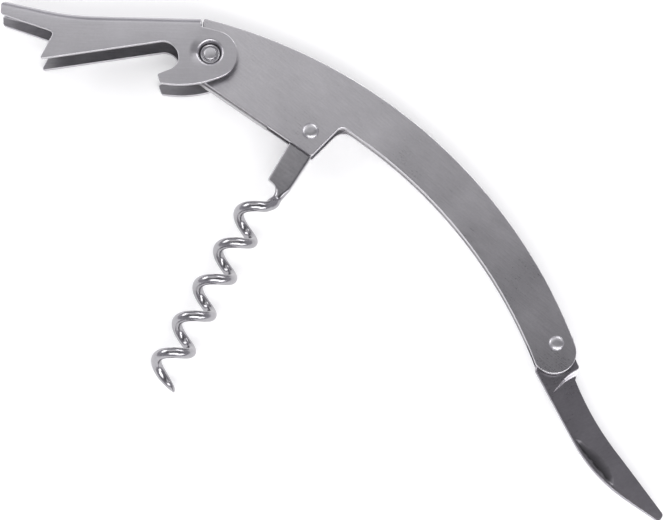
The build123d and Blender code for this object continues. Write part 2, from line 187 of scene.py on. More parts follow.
speckle.inputs["Scale"].default_value = 2400.0
speckle.inputs["Detail"].default_value = 2.0
brushing.links.new(brush_in.outputs["Vector"], speckle.inputs["Vector"])
STREAK_SHARE = 0.65
streak_part = math_node(brushing, "MULTIPLY", streaks.outputs["Fac"], STREAK_SHARE)
speckle_part = math_node(brushing, "MULTIPLY", speckle.outputs["Fac"], 1 - STREAK_SHARE)
brushing.links.new(math_node(brushing, "ADD", streak_part, speckle_part), brush_out.inputs["Grain"])
brushing.links.new(streaks.outputs["Fac"], brush_out.inputs["Strokes"])

# Handling: cloudy patches where fingers and cloths have left the surface duller
handling, hand_in, hand_out = node_group(
    "handling",
    [("Vector", "NodeSocketVector", None), ("Size", "NodeSocketFloat", 12.0)],
    [("Patches", "NodeSocketFloat")],
)
clouds = handling.nodes.new("ShaderNodeTexNoise")
clouds.inputs["Detail"].default_value = 4.0
clouds.inputs["Roughness"].default_value = 0.55
handling.links.new(hand_in.outputs["Vector"], clouds.inputs["Vector"])
per_patch = math_node(handling, "DIVIDE", 1 / MM, hand_in.outputs["Size"])
handling.links.new(per_patch, clouds.inputs["Scale"])
handling.links.new(clouds.outputs["Fac"], hand_out.inputs["Patches"])

# Edge mask for a painted highlight and for polish: where the rounded normal leaves the true one, from 0
# on a flat to 1 on an edge
edge_highlight_mask, edge_mask_in, edge_mask_out = node_group(
    "edge highlight mask",
    [("Gain", "NodeSocketFloat", 6.0)],
    [("Edge", "NodeSocketFloat")],
)
rounded_normal = edge_highlight_mask.nodes.new("ShaderNodeBevel")
rounded_normal.samples = 4
rounded_normal.inputs["Radius"].default_value = 0.25 * MM
surface = edge_highlight_mask.nodes.new("ShaderNodeNewGeometry")
likeness = edge_highlight_mask.nodes.new("ShaderNodeVectorMath")
likeness.operation = "DOT_PRODUCT"
edge_highlight_mask.links.new(rounded_normal.outputs[0], likeness.inputs[0])
edge_highlight_mask.links.new(surface.outputs["Normal"], likeness.inputs[1])
bend_amount = math_node(edge_highlight_mask, "SUBTRACT", 1.0, likeness.outputs["Value"])
stronger = math_node(edge_highlight_mask, "MULTIPLY", bend_amount, edge_mask_in.outputs["Gain"])
clipped = edge_highlight_mask.nodes.new("ShaderNodeClamp")
edge_highlight_mask.links.new(stronger, clipped.inputs["Value"])
edge_highlight_mask.links.new(clipped.outputs[0], edge_mask_out.inputs["Edge"])


def ranged(tree, value, low, high):
    """Takes a value's middle range to the numbers from low to high."""
    node = tree.nodes.new("ShaderNodeMapRange")
    node.inputs["From Min"].default_value = 0.3
    node.inputs["From Max"].default_value = 0.7
    node.inputs["To Min"].default_value = low
    node.inputs["To Max"].default_value = high
    tree.links.new(value, node.inputs["Value"])
    return node.outputs[0]


def mixed_colour(tree, factor, a, b):
    """Mix of two colours by a factor: each colour is a socket or three numbers."""
    node = tree.nodes.new("ShaderNodeMix")
    node.data_type = "RGBA"
    tree.links.new(factor, node.inputs["Factor"])
    for slot, colour in ((node.inputs["A"], a), (node.inputs["B"], b)):
        if isinstance(colour, tuple):
            slot.default_value = (*colour, 1)
        else:
            tree.links.new(colour, slot)
    return node.outputs["Result"]


def grouped(tree, group, **values):
    """A shader group placed in a material's tree with its own values."""
    node = tree.nodes.new("ShaderNodeGroup")
    node.node_tree = group
    for label, value in values.items():
        node.inputs[label].default_value = value
    return node


GRAIN_SHARE = 0.6
EDGE_POLISH = 0.1
BUMP_HEIGHT = 0.01 * MM


def metal(name, dark, light, shine, rough, stroke, width, turn=0.0, relief=0.25, patch=12.0):
    """Brushed metal. dark and light are the grain's two colours, shine the painted highlight colour on
    the edges, rough the lowest and highest roughness, stroke and width the brush marks in mm, turn their
    direction, relief the bump's strength and patch the size of the dull patches in mm."""
    paint = bpy.data.materials.new(name)
    paint.use_nodes = True
    tree = paint.node_tree
    shader = tree.nodes["Principled BSDF"]
    shader.inputs["Metallic"].default_value = 1.0
    place = tree.nodes.new("ShaderNodeTexCoord")
    turned = tree.nodes.new("ShaderNodeMapping")
    turned.inputs["Rotation"].default_value = (0, 0, -radians(turn))
    tree.links.new(place.outputs["Object"], turned.inputs["Vector"])
    grain = grouped(tree, brushing, Stroke=stroke, Width=width)
    tree.links.new(turned.outputs[0], grain.inputs["Vector"])
    worn = grouped(tree, handling, Size=patch)
    tree.links.new(place.outputs["Object"], worn.inputs["Vector"])
    edge = grouped(tree, edge_highlight_mask)
    grain_part = math_node(tree, "MULTIPLY", grain.outputs["Grain"], GRAIN_SHARE)
    worn_part = math_node(tree, "MULTIPLY", worn.outputs["Patches"], 1 - GRAIN_SHARE)
    marks = math_node(tree, "ADD", grain_part, worn_part)
    face = mixed_colour(tree, ranged(tree, marks, 0.0, 1.0), dark, light)
    # Painted highlight: along edges the base colour turns to the shine colour, standing in for edges
    # that catch the light
    highlighted_face = mixed_colour(tree, edge.outputs["Edge"], face, shine)
    tree.links.new(highlighted_face, shader.inputs["Base Color"])
    edge_part = math_node(tree, "MULTIPLY", edge.outputs["Edge"], EDGE_POLISH)
    polish = math_node(tree, "SUBTRACT", ranged(tree, marks, *rough), edge_part)
    tree.links.new(polish, shader.inputs["Roughness"])
    bump = tree.nodes.new("ShaderNodeBump")
    bump.inputs["Strength"].default_value = relief
    bump.inputs["Distance"].default_value = BUMP_HEIGHT
    tree.links.new(grain.outputs["Strokes"], bump.inputs["Height"])
    tree.links.new(bump.outputs[0], shader.inputs["Normal"])
    return paint


def repaint(node, paint):
    """Gives a CAD node a material."""
    mesh = frame["nodes"][node].data
    mesh.materials.clear()
    mesh.materials.append(paint)


plate_steel = metal(
    "plate steel",
    dark=(0.47, 0.46, 0.48),
    light=(0.70, 0.685, 0.71),
    shine=(0.85, 0.84, 0.86),
    rough=(0.25, 0.36),
    stroke=4.5,
    width=0.18,
    relief=0.3,
)
repaint("front_plate", plate_steel)
repaint("back_plate", plate_steel)

# ---------------------------------------------------------------- strips between the plates
# The spacer at the lever end and the bowed spring along the belly are sheared strip. Three
# dowels locate them, and a thin ring each side centres the blade.
strip_steel = metal(
    "strip steel",
    dark=(0.42, 0.41, 0.42),
    light=(0.56, 0.55, 0.56),
    shine=(0.8, 0.79, 0.8),
    rough=(0.3, 0.45),
    stroke=4.0,
    width=0.3,
    turn=90.0,
)
for strip in ("spacer_bar", "back_spring", "spring_dowels", "knife_washers"):
    repaint(strip, strip_steel)

# ---------------------------------------------------------------- rivets
# Each is turned from soft rod, put through both plates and headed over at both ends, then
# polished by the press tool. The lever's has a flange and a raised button on it.
HANDLE_MIDDLE = 5.5
pivots = {joint["name"]: [1000 * c for c in joint["pos_m"][:2]] for joint in frame["joints"]}
LEVER_PIVOT = pivots["lever_fold"]
WORM_PIVOT = pivots["worm_fold"]
KNIFE_PIVOT = pivots["knife_fold"]


def closed_mesh(name, points, faces):
    """Mesh object from points in mm, with its seams and poles merged and its faces outwards."""
    mesh = bpy.data.meshes.new(name)
    mesh.from_pydata((np.asarray(points) * MM).tolist(), [], [tuple(int(i) for i in f) for f in faces])
    work = bmesh.new()
    work.from_mesh(mesh)
    bmesh.ops.remove_doubles(work, verts=work.verts, dist=0.002 * MM)
    bmesh.ops.dissolve_degenerate(work, edges=work.edges, dist=0.0005 * MM)
    bmesh.ops.recalc_face_normals(work, faces=work.faces)
    work.to_mesh(mesh)
    work.free()
    made = bpy.data.objects.new(name, mesh)
    bpy.context.scene.collection.objects.link(made)
    return made


def piece(name, points, faces, body, *nodes, slot, paint):
    """A smooth mesh object from points in mm, with its body and material, hiding the CAD nodes it
    replaces; slot is not used.
    """
    made = closed_mesh(name, points, faces)
    made.data.shade_smooth()
    made.data.materials.append(paint)
    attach(made, body)
    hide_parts(*nodes)
    return made


def grid_faces(rows, columns, wrap):
    """Four-sided faces of a grid of points; wrap joins the last column to the first."""
    index = np.arange(rows * columns).reshape(rows, columns)
    if wrap:
        index = np.concatenate([index, index[:, :1]], axis=1)
    quads = [index[:-1, :-1], index[:-1, 1:], index[1:, 1:], index[1:, :-1]]
    return np.stack(quads, axis=-1).reshape(-1, 4)


def lathe(profile, pivot, turns=64):
    """Surface of revolution: a profile of radius and height carried round a pivot's axis."""
    radius, height = np.asarray(profile, float).T
    angle = np.linspace(0, 2 * pi, turns, endpoint=False)
    x = pivot[0] + radius[:, None] * np.cos(angle)
    y = pivot[1] + radius[:, None] * np.sin(angle)
    z = np.broadcast_to(height[:, None], x.shape)
    return np.stack([x, y, z], axis=-1).reshape(-1, 3), grid_faces(len(radius), turns, True)


def both_ends(profile):
    """A profile from the pole of one head to the middle, mirrored to make the other head."""
    lower = [(r, -h) for r, h in reversed(profile)]
    return [(r, HANDLE_MIDDLE + h) for r, h in [*profile, *lower]]


rivet_shine = metal(
    "rivet polish",
    dark=(0.46, 0.455, 0.475),
    light=(0.60, 0.59, 0.61),
    shine=(0.8, 0.79, 0.81),
    rough=(0.32, 0.42),
    stroke=0.8,
    width=0.3,
    relief=0.1,
    patch=2.0,
)


def domed_head(shank, head, foot, rise, flat):
    """Half profile of a domed rivet: a small flat, a quarter ellipse to its foot, and the shank."""
    turn = np.radians(np.linspace(90, 0, 14))
    dome = [(flat + (head - flat) * cos(a), foot + rise * sin(a)) for a in turn]
    return [(0, foot + rise), *dome, (head - 0.05, foot), (shank, foot), (shank, 0)]


PLATE_FACE = 2.4
for name, pivot, node, sizes in (
    ("worm_rivet_head", WORM_PIVOT, "worm_rivet", (1.3, 1.85, PLATE_FACE, 0.6, 0.55)),
    ("knife_rivet_head", KNIFE_PIVOT, "knife_rivet", (1.2, 1.7, PLATE_FACE, 0.55, 0.4)),
):
    points, faces = lathe(both_ends(domed_head(*sizes)), pivot)
    piece(name, points, faces, "handle", node, slot="rivets", paint=rivet_shine)

# The lever's rivet, from the button's top over its groove and flange: radius, height over the foot
FLANGE_FOOT = 3.7
button = [(0, 0.80), (1.15, 0.79), (1.35, 0.73), (1.46, 0.60), (1.5, 0.40), (1.52, 0.08)]
groove = [(1.62, 0.05), (1.74, 0.10), (1.84, 0.30)]
flange = [(1.95, 0.42), (2.05, 0.43), (2.16, 0.36), (2.24, 0.22), (2.26, 0), (1.4, 0)]
flanged = [(radius, FLANGE_FOOT + height) for radius, height in button + groove + flange]
points, faces = lathe(both_ends([*flanged, (1.4, 0)]), LEVER_PIVOT)
piece("lever_rivet_head", points, faces, "handle", "lever_rivet", slot="rivets", paint=rivet_shine)

# ---------------------------------------------------------------- lever
# One blank of thin stainless sheet, pressed to a channel over a former. Its ears carry a
# claw and a cap hook, and are dished round the rivet so that they bear on the plates.
LEVER_ANGLE = radians(219.15)
LEVER_WIDTH = 11.0
LEVER_SHEET = 1.1
FOLD = 1.8
WEB_DISTANCE = 8.1
WEB_START = 2.2
FLARE_START = 26.0
FLARE_RADIUS = 57.0
FLARE_TURN = radians(11.2)
LEVER_NOSE = 47.3
NOSE_ROUND = 1.6
EDGE_ROUND = 0.18


def smooth_step(x):
    """Rises from 0 to 1 as x does, level at both ends."""
    x = np.clip(x, 0, 1)
    return x * x * (3 - 2 * x)


def in_frame(points, pivot, angle):
    """Points given along and across a limb from its pivot, put into the corkscrew's frame."""
    along, across, height = np.asarray(points, float).T
    x = pivot[0] + along * cos(angle) - across * sin(angle)
    y = pivot[1] + along * sin(angle) + across * cos(angle)
    return np.stack([x, y, height], axis=-1)


def through(a, b, c, count):
    """Points on the circular arc from a through b to c, without the first."""
    (ax, ay), (bx, by), (cx, cy) = a, b, c
    d = 2 * (ax * (by - cy) + bx * (cy - ay) + cx * (ay - by))
    sa, sb, sc = ax * ax + ay * ay, bx * bx + by * by, cx * cx + cy * cy
    ox = (sa * (by - cy) + sb * (cy - ay) + sc * (ay - by)) / d
    oy = (sa * (cx - bx) + sb * (ax - cx) + sc * (bx - ax)) / d
    radius = np.hypot(ax - ox, ay - oy)
    first, mid, last = (np.arctan2(y - oy, x - ox) for x, y in (a, b, c))
    sweep = (last - first) % (2 * pi)
    if (mid - first) % (2 * pi) > sweep:
        sweep -= 2 * pi
    angle = first + sweep * np.arange(1, count + 1) / count
    return [(ox + radius * cos(t), oy + radius * sin(t)) for t in angle]


def rounded(corners, count=6):
    """Open line through corners (x, y, radius): a corner with a radius becomes points on its arc."""
    line = [corners[0][:2]]
    for before, here, after in zip(corners, corners[1:], corners[2:]):
        radius = here[2]
        if radius == 0:
            line.append(here[:2])
            continue
        p = np.array(here[:2])
        a = np.array(before[:2]) - p
        b = np.array(after[:2]) - p
        a, b = a / np.hypot(*a), b / np.hypot(*b)
        half = np.arccos(np.clip(a @ b, -1, 1)) / 2
        centre = p + (a + b) / np.hypot(*(a + b)) * radius / np.sin(half)
        start, end = p + a * radius / np.tan(half), p + b * radius / np.tan(half)
        t0, t1 = (np.arctan2(*(q - centre)[::-1]) for q in (start, end))
        swing = (t1 - t0 + pi) % (2 * pi) - pi
        angles = t0 + swing * np.linspace(0, 1, count)
        line += [tuple(centre + radius * np.array([cos(t), sin(t)])) for t in angles]
    line.append(corners[-1][:2])
    return line


run_length = FLARE_START - WEB_START
flare_length = FLARE_RADIUS * FLARE_TURN
flare_end = FLARE_START + FLARE_RADIUS * sin(FLARE_TURN)


def web_at(length, inset):
    """Points at lengths along the web's outer line, an inset inside it: a straight, an arc that
    bends it outwards, and a straight to the nose."""
    turn = np.clip((length - run_length) / FLARE_RADIUS, 0, FLARE_TURN)
    past = np.clip(length - run_length - flare_length, 0, None)
    straight = WEB_START + np.minimum(length, run_length)
    along = straight + FLARE_RADIUS * np.sin(turn) + past * cos(FLARE_TURN)
    across = -WEB_DISTANCE - FLARE_RADIUS * (1 - np.cos(turn)) - past * sin(FLARE_TURN)
    return along + inset * np.sin(turn), across + inset * np.cos(turn)


def web_end_length(inset):
    """Length at which the web's line, at an inset, meets the rounded nose."""
    chord = NOSE_ROUND**2 - np.clip(NOSE_ROUND - inset, 0, None) ** 2
    drop = NOSE_ROUND - np.sqrt(np.clip(chord, 0, None))
    straight = (LEVER_NOSE - flare_end - inset * sin(FLARE_TURN)) / cos(FLARE_TURN)
    return run_length + flare_length + straight - drop


# The channel's section, from one ear over the web to the other: inset from the web and height
bend = np.radians(np.linspace(0, 90, 9))
fold_inset = FOLD - FOLD * np.sin(bend)
fold_height = LEVER_WIDTH - FOLD + FOLD * np.cos(bend)
web_steps = np.linspace(LEVER_WIDTH - FOLD, FOLD, 7)[1:-1]
section_inset = np.concatenate([fold_inset, 0 * web_steps, fold_inset[::-1]])
section_height = np.concatenate([fold_height, web_steps, LEVER_WIDTH - fold_height[::-1]])
share = np.linspace(0, 1, 71)
lengths = share[:, None] * web_end_length(section_inset)
web_along, web_across = web_at(lengths, section_inset)
web_points = np.stack([web_along, web_across, np.broadcast_to(section_height, web_along.shape)], axis=-1)

# An ear's outline: the fold's line, then round the lip, the claw, the cap hook and the pivot
fold_line = list(zip(web_along[:, 0], web_across[:, 0]))
hollow = through((11.6, -2.15), (7.1, 1.6), (8.3, 3.9), 14)
crest = through((10.9, 7.4), (3.6, 7.45), (-3.6, 5.15), 24)
heel = through((-3.6, 5.15), (-6.15, 0.8), (-2.4, -4.85), 30)
free_edge = rounded(
    [
        (*fold_line[-1], 0),
        (LEVER_NOSE, -7.88, 1.0),
        (LEVER_NOSE - 12.17, -3.94, 0.9),
        (LEVER_NOSE - 9.05, 2.52, 0.45),
        (11.6, -2.15, 0.6),
        *[(*p, 0) for p in hollow],
        (11.75, 5.35, 0.5),
        (10.9, 7.4, 0.6),
        *[(*p, 0) for p in crest],
        *[(*p, 0) for p in heel],
        (WEB_START, -5.95, 0.3),
        (*fold_line[0], 0),
    ]
)
outline = np.array(fold_line + free_edge[1:-1])

# The dish round the pivot: rings whose height falls from the ear's face to a flat round the hole
DISH_EDGE = 5.05
DISH_FLAT = 2.38
DISH_DEPTH = 1.88
DISH_WALL = 0.2
DISH_LIP = 0.62
LIP_SHARE = 0.3
DENT_DEPTH = 0.34
DENT_WIDTH = 0.55
around = np.linspace(0, 2 * pi, 96, endpoint=False)
flat_rings = np.array([1.45, 2.0, 2.3])
wall_rings = DISH_FLAT + np.array([0, 0.06, 0.12, 0.16])
lip_rings = DISH_FLAT + np.linspace(DISH_WALL, DISH_WALL + DISH_LIP, 12)[:-1]
outer_rings = np.linspace(DISH_FLAT + DISH_WALL + DISH_LIP, DISH_EDGE, 22)
ring_radius = np.concatenate([flat_rings, wall_rings, lip_rings, outer_rings])
past_flat = (ring_radius - DISH_FLAT)[:, None]

# Depth: a steep wall, then a quarter circle of a lip, and a long dent on the side of the nose
wall = np.interp(past_flat, [0, 0.12, DISH_WALL], [1.0, 0.45, LIP_SHARE])
lip = 1 - np.sqrt(1 - (1 - np.clip((past_flat - DISH_WALL) / DISH_LIP, 0, 1)) ** 2)
nose_side = np.exp(-((np.minimum(around, 2 * pi - around) / DENT_WIDTH) ** 2))
dent = DENT_DEPTH * nose_side * (1 - smooth_step((past_flat - 0.3) / 2.2))
dish_height = DISH_DEPTH * np.where(past_flat < DISH_WALL, wall, LIP_SHARE * lip) + dent
dish_height = np.minimum(dish_height, DISH_DEPTH)
dish_height[-1] = 0
ring_along = ring_radius[:, None] * np.cos(around)
ring_across = ring_radius[:, None] * np.sin(around)

lever_points = [web_points.reshape(-1, 3)]
lever_faces = [tuple(f) for f in grid_faces(len(share), len(section_inset), False)]
ring_faces = grid_faces(len(ring_radius), len(around), True)
dish_line = np.stack([ring_along[-1], ring_across[-1]], axis=-1)
flat_points = np.concatenate([outline, dish_line])
outer_loop = list(range(len(outline)))
dish_loop = list(range(len(outline), len(flat_points)))
skin = delaunay_2d_cdt([Vector(p) for p in flat_points], [], [outer_loop, dish_loop], 1, 1e-6)
flat_points = np.array([tuple(p) for p in skin[0]])
flat_faces = [f for f in skin[2] if np.hypot(*flat_points[list(f)].T).max() > DISH_EDGE + 0.01]
for face_height, sense in ((LEVER_WIDTH, -1), (0.0, 1)):
    base = sum(len(p) for p in lever_points)
    lever_points.append(np.column_stack([flat_points, np.full(len(flat_points), face_height)]))
    lever_faces += [tuple(base + i for i in f) for f in flat_faces]
    base += len(flat_points)
    rings = np.stack([ring_along, ring_across, face_height + sense * dish_height], axis=-1)
    lever_points.append(rings.reshape(-1, 3))
    lever_faces += [tuple(base + i for i in f) for f in ring_faces]

lever_steel = metal(
    "lever steel",
    dark=(0.43, 0.42, 0.44),
    light=(0.56, 0.55, 0.575),
    shine=(0.9, 0.89, 0.9),
    rough=(0.27, 0.37),
    stroke=7.0,
    width=0.25,
    turn=39.15,
    relief=0.25,
)
# A darker copy of the lever's steel for the sheet's inner faces: painted shade inside the channel
lever_inside_shade = metal(
    "lever inside shade",
    dark=(0.26, 0.255, 0.27),
    light=(0.42, 0.41, 0.43),
    shine=(0.5, 0.49, 0.51),
    rough=(0.34, 0.48),
    stroke=5.0,
    width=0.3,
    turn=39.15,
    relief=0.3,
    patch=6.0,
)
lever = piece(
    "lever_sheet",
    in_frame(np.concatenate(lever_points), LEVER_PIVOT, LEVER_ANGLE),
    lever_faces,
    "lever",
    "lever",
    slot="lever_sheet",
    paint=lever_steel,
)
near_top = 0.9 * LEVER_WIDTH * MM
top_facing = sum(p.normal.z * p.area for p in lever.data.polygons if p.center.z > near_top)
if top_facing < 0:
    lever.data.flip_normals()
thicken = lever.modifiers.new("sheet", "SOLIDIFY")
thicken.thickness = LEVER_SHEET * MM
thicken.offset = -1.0
thicken.use_even_offset = True
# The inner faces of the sheet take the darker copy, as painted shade
lever.data.materials.append(lever_inside_shade)
thicken.material_offset = 1
soften = lever.modifiers.new("edges", "BEVEL")
soften.width = EDGE_ROUND * MM
soften.segments = 3
soften.limit_method = "ANGLE"
soften.angle_limit = radians(50)
soften.use_clamp_overlap = False
soften.loop_slide = False
soften.harden_normals = True

# ---------------------------------------------------------------- worm
# Round wire coiled right-handed on a mandrel and ground to a point. Its top end is forged
# flat into a tang with a shoulder, drilled for the rivet, and the whole is polished.
WORM_ANGLE = radians(-77.9)
COIL_RADIUS = 2.95
WIRE = 1.2
PITCH = 9.5
COIL_START = 18.8
COIL_OFFSET = -2.4
LEAD_IN = radians(58)
POINT_START = radians(1690)
POINT_END = radians(1800)


def coil_frames(turn, lift):
    """Centres and section axes along the coil: the wire's centre goes round the axis at a radius
    while it moves on by the pitch each turn, and lift moves it outwards."""
    radius = COIL_RADIUS + lift
    out = np.stack([0 * turn, np.cos(turn), np.sin(turn)], axis=-1)
    onward = np.full_like(turn, PITCH / (2 * pi))
    tangent = np.stack([onward, -radius * np.sin(turn), radius * np.cos(turn)], axis=-1)
    tangent /= np.linalg.norm(tangent, axis=1, keepdims=True)
    centre = out * radius[:, None]
    centre[:, 0] = COIL_START + PITCH * turn / (2 * pi)
    centre[:, 1] += COIL_OFFSET
    return centre, tangent, out


def section_ring(wide, deep, corner):
    """Rounded rectangles, one a row, from half width, half depth and corner radius: each corner's
    arc, then a few points along the side that follows it."""
    quarter = np.radians(np.linspace(0, 90, 9))
    side = np.array([0.06, 0.35, 0.65, 0.94])
    across, up = [], []
    flat_x, flat_y = wide - corner, deep - corner
    for sx, sy, start in ((1, 1, 0), (-1, 1, 90), (-1, -1, 180), (1, -1, 270)):
        angle = quarter + radians(start)
        across.append(sx * flat_x[:, None] + corner[:, None] * np.cos(angle))
        up.append(sy * flat_y[:, None] + corner[:, None] * np.sin(angle))
        end_x, end_y = across[-1][:, -1:], up[-1][:, -1:]
        next_x = end_x - 2 * flat_x[:, None] * side * (sx * sy > 0) * sx
        next_y = end_y - 2 * flat_y[:, None] * side * (sx * sy < 0) * sy
        across.append(next_x + 0 * next_y)
        up.append(next_y + 0 * next_x)
    return np.concatenate(across, axis=1), np.concatenate(up, axis=1)


# Tang: straight, with its two edges given along it, a rounded top and a scallop at the shoulder
TANG_TOP = -3.9
TANG_ROUND = 1.6
TANG_HALF = 1.1
SHOULDER = 13.9
right_edge = [(TANG_TOP, 2.75), (6.0, 2.75), (11.5, 2.4), (14.1, 2.2), (15.4, 1.93), (16.6, 1.72)]
left_edge = [(TANG_TOP, -2.75), (4.5, -3.05), (SHOULDER, -3.25)]
scallop = [(SHOULDER, -3.25), (13.98, -2.9), (14.15, -2.2), (14.35, -1.6), (14.6, -1.15)]
scallop += [(15.1, -0.75), (15.9, -0.5), (16.6, -0.5)]
top_at = TANG_TOP + TANG_ROUND * (1 - np.cos(np.linspace(0, pi / 2, 9)))
shoulder_at = np.concatenate([np.linspace(SHOULDER, 14.6, 14), np.linspace(14.7, 16.6, 14)])
tang_at = np.concatenate([top_at, np.linspace(-1.8, 13.8, 60), shoulder_at])
into_round = np.clip(TANG_TOP + TANG_ROUND - tang_at, 0, TANG_ROUND)
end_round = TANG_ROUND - np.sqrt(TANG_ROUND**2 - into_round**2)
right = np.interp(tang_at, *zip(*right_edge)) - end_round
left = np.interp(tang_at, *zip(*left_edge)) + end_round
left = np.where(tang_at > SHOULDER, np.interp(tang_at, *zip(*scallop)), left)
tang_wide = (right - left) / 2
tang_centre = np.stack([tang_at, (right + left) / 2, 0 * tang_at], axis=-1)
tang_deep = np.full_like(tang_at, TANG_HALF)
tang_corner = np.minimum(0.3 + 0.75 * smooth_step((tang_at - 13.0) / 3.6), tang_wide)

# Neck: a cubic from the tang's end, straight on at first, to where the even coil begins, given
# by the places and directions of its two ends. It swells a little where it was forged.
NECK_SWELL = 0.28
neck_share = np.linspace(0, 1, 44)[1:]
coil_centre, coil_tangent, coil_out = coil_frames(np.array([LEAD_IN]), np.zeros(1))
leaving = np.array([1.0, -0.1, 0]) * 4.2
arriving = coil_tangent[0] * 4.4
neck_ends = np.array([tang_centre[-1], leaving, coil_centre[0], arriving])
s = neck_share[:, None]
place_shares = [2 * s**3 - 3 * s**2 + 1, s**3 - 2 * s**2 + s, 3 * s**2 - 2 * s**3, s**3 - s**2]
slope_shares = [6 * s**2 - 6 * s, 3 * s**2 - 4 * s + 1, 6 * s - 6 * s**2, 3 * s**2 - 2 * s]
neck_centre = np.hstack(place_shares) @ neck_ends
neck_tangent = np.hstack(slope_shares) @ neck_ends
neck_tangent /= np.linalg.norm(neck_tangent, axis=1, keepdims=True)
neck_out = np.array([0, 1.0, 0]) * (1 - s) + coil_out[0] * s
neck_blend = smooth_step(neck_share)
neck_wide = tang_wide[-1] + (WIRE - tang_wide[-1]) * neck_blend
neck_wide += NECK_SWELL * np.sin(pi * np.clip(neck_share / 0.8, 0, 1)) ** 2
neck_deep = TANG_HALF + (WIRE - TANG_HALF) * neck_blend
neck_corner = tang_corner[-1] + (WIRE - tang_corner[-1]) * neck_blend

# Coil and point: even wire, then a taper that keeps to the coil's outside, and a round tip
even = np.linspace(LEAD_IN, POINT_START, 560)[1:]
taper = np.linspace(0, 1, 60)[1:]
tip = np.radians(np.linspace(10, 90, 8))
point_thin = WIRE * (1 - 0.82 * taper**1.6)
tip_thin = point_thin[-1]
tapering = POINT_START + (POINT_END - POINT_START) * taper
turn = np.concatenate([even, tapering, np.full(len(tip), POINT_END)])
thin = np.concatenate([np.full(len(even), WIRE), point_thin, tip_thin * np.cos(tip)])
lift = np.concatenate([np.zeros(len(even)), WIRE - point_thin, np.full(len(tip), WIRE - tip_thin)])
coil_centre, coil_tangent, coil_out = coil_frames(turn, lift)
coil_centre[-len(tip):] += coil_tangent[-len(tip):] * (tip_thin * np.sin(tip))[:, None]

worm_centre = np.concatenate([tang_centre, neck_centre, coil_centre])
worm_tangent = np.concatenate([np.tile([1.0, 0, 0], (len(tang_at), 1)), neck_tangent, coil_tangent])
worm_out = np.concatenate([np.tile([0, 1.0, 0], (len(tang_at), 1)), neck_out, coil_out])
worm_out -= worm_tangent * np.sum(worm_out * worm_tangent, axis=1, keepdims=True)
worm_out /= np.linalg.norm(worm_out, axis=1, keepdims=True)
worm_side = np.cross(worm_tangent, worm_out)
ring_x, ring_y = section_ring(
    np.concatenate([tang_wide, neck_wide, thin]),
    np.concatenate([tang_deep, neck_deep, thin]),
    np.concatenate([tang_corner, neck_corner, thin]),
)
worm_points = worm_centre[:, None] + ring_x[..., None] * worm_out[:, None]
worm_points += ring_y[..., None] * worm_side[:, None]
rows, columns = ring_x.shape
worm_faces = [tuple(f) for f in grid_faces(rows, columns, True)]
worm_faces += [tuple(range(columns)), tuple(range((rows - 1) * columns, rows * columns))]
worm_points[..., 2] += HANDLE_MIDDLE
worm_polish = metal(
    "worm polish",
    dark=(0.33, 0.325, 0.34),
    light=(0.46, 0.45, 0.47),
    shine=(0.6, 0.59, 0.61),
    rough=(0.16, 0.26),
    stroke=3.0,
    width=0.5,
    relief=0.15,
    patch=4.0,
)
worm = piece(
    "worm_wire",
    in_frame(worm_points.reshape(-1, 3), WORM_PIVOT, WORM_ANGLE),
    worm_faces,
    "worm",
    "worm",
    slot="worm_wire",
    paint=worm_polish,
)


def drill(made, pivot, radius):
    """Cuts a round hole along a pivot's axis, and keeps the result as the piece's own mesh."""
    profile = [(0, 0), (radius, 0), (radius, LEVER_WIDTH), (0, LEVER_WIDTH)]
    cutter = closed_mesh("drill", *lathe(profile, pivot, 40))
    cut = made.modifiers.new("hole", "BOOLEAN")
    cut.operation = "DIFFERENCE"
    cut.solver = "EXACT"
    cut.object = cutter
    bpy.context.view_layer.update()
    result = bpy.data.meshes.new_from_object(made.evaluated_get(bpy.context.evaluated_depsgraph_get()))
    made.modifiers.clear()
    made.data = result
    bpy.data.objects.remove(cutter)
    result.set_sharp_from_angle(angle=radians(40))


drill(worm, WORM_PIVOT, 1.35)

# ---------------------------------------------------------------- knife blade
# Blanked from thicker sheet and hollow ground on both faces from a plunge line down to the edge. A nail
# nick is pressed into the front face, and the spine is made bright by the painted edge highlight.
KNIFE_ANGLE = radians(-22)
BLADE_HALF = 0.8
BLADE_DEPTH = 6.95
BLADE_EYE = 4.0
BLADE_TIP = (45.15, 2.2, 0)
SPINE_START = 21.0
SPINE_RADIUS = 36.1
SPINE_ROUND = 0.05
EDGE_HALF = 0.1
NICK_DEPTH = 0.36
eye = (-BLADE_EYE, 0.0)
spine_turn = np.radians(np.linspace(0, 28, 24))
spine_x = SPINE_START + SPINE_RADIUS * np.sin(spine_turn)
spine_y = -BLADE_DEPTH + SPINE_RADIUS * (1 - np.cos(spine_turn))
spine = rounded(
    [
        (*eye, 0),
        *[(*p, 0) for p in through(eye, (-3.68, -1.6), (-3.2, -2.4), 6)],
        (3.1, -BLADE_DEPTH, 0.5),
        (20.0, -BLADE_DEPTH, 0),
        *[(x, y, 0) for x, y in zip(spine_x, spine_y)],
        (45.65, 1.35, 0.8),
        BLADE_TIP,
    ],
    8,
)
belly = rounded(
    [
        (*eye, 0),
        *[(*p, 0) for p in through(eye, (-3.2, 2.4), (3.2, 2.4), 20)],
        (6.8, 2.1, 0.5),
        (8.9, 0.1, 0.5),
        *[(*p, 0) for p in through((8.9, 0.1), (19.0, -0.33), (29.0, 0.75), 24)],
        (44.65, 3.05, 0.9),
        BLADE_TIP,
    ],
    8,
)


def resampled(line, along):
    """Points of a line at shares of its way along the blade, by distance along the line."""
    line = np.asarray(line)
    gone = np.concatenate([[0], np.cumsum(np.hypot(*np.diff(line, axis=0).T))])
    return np.stack([np.interp(along, gone / gone[-1], line[:, k]) for k in (0, 1)], axis=-1)


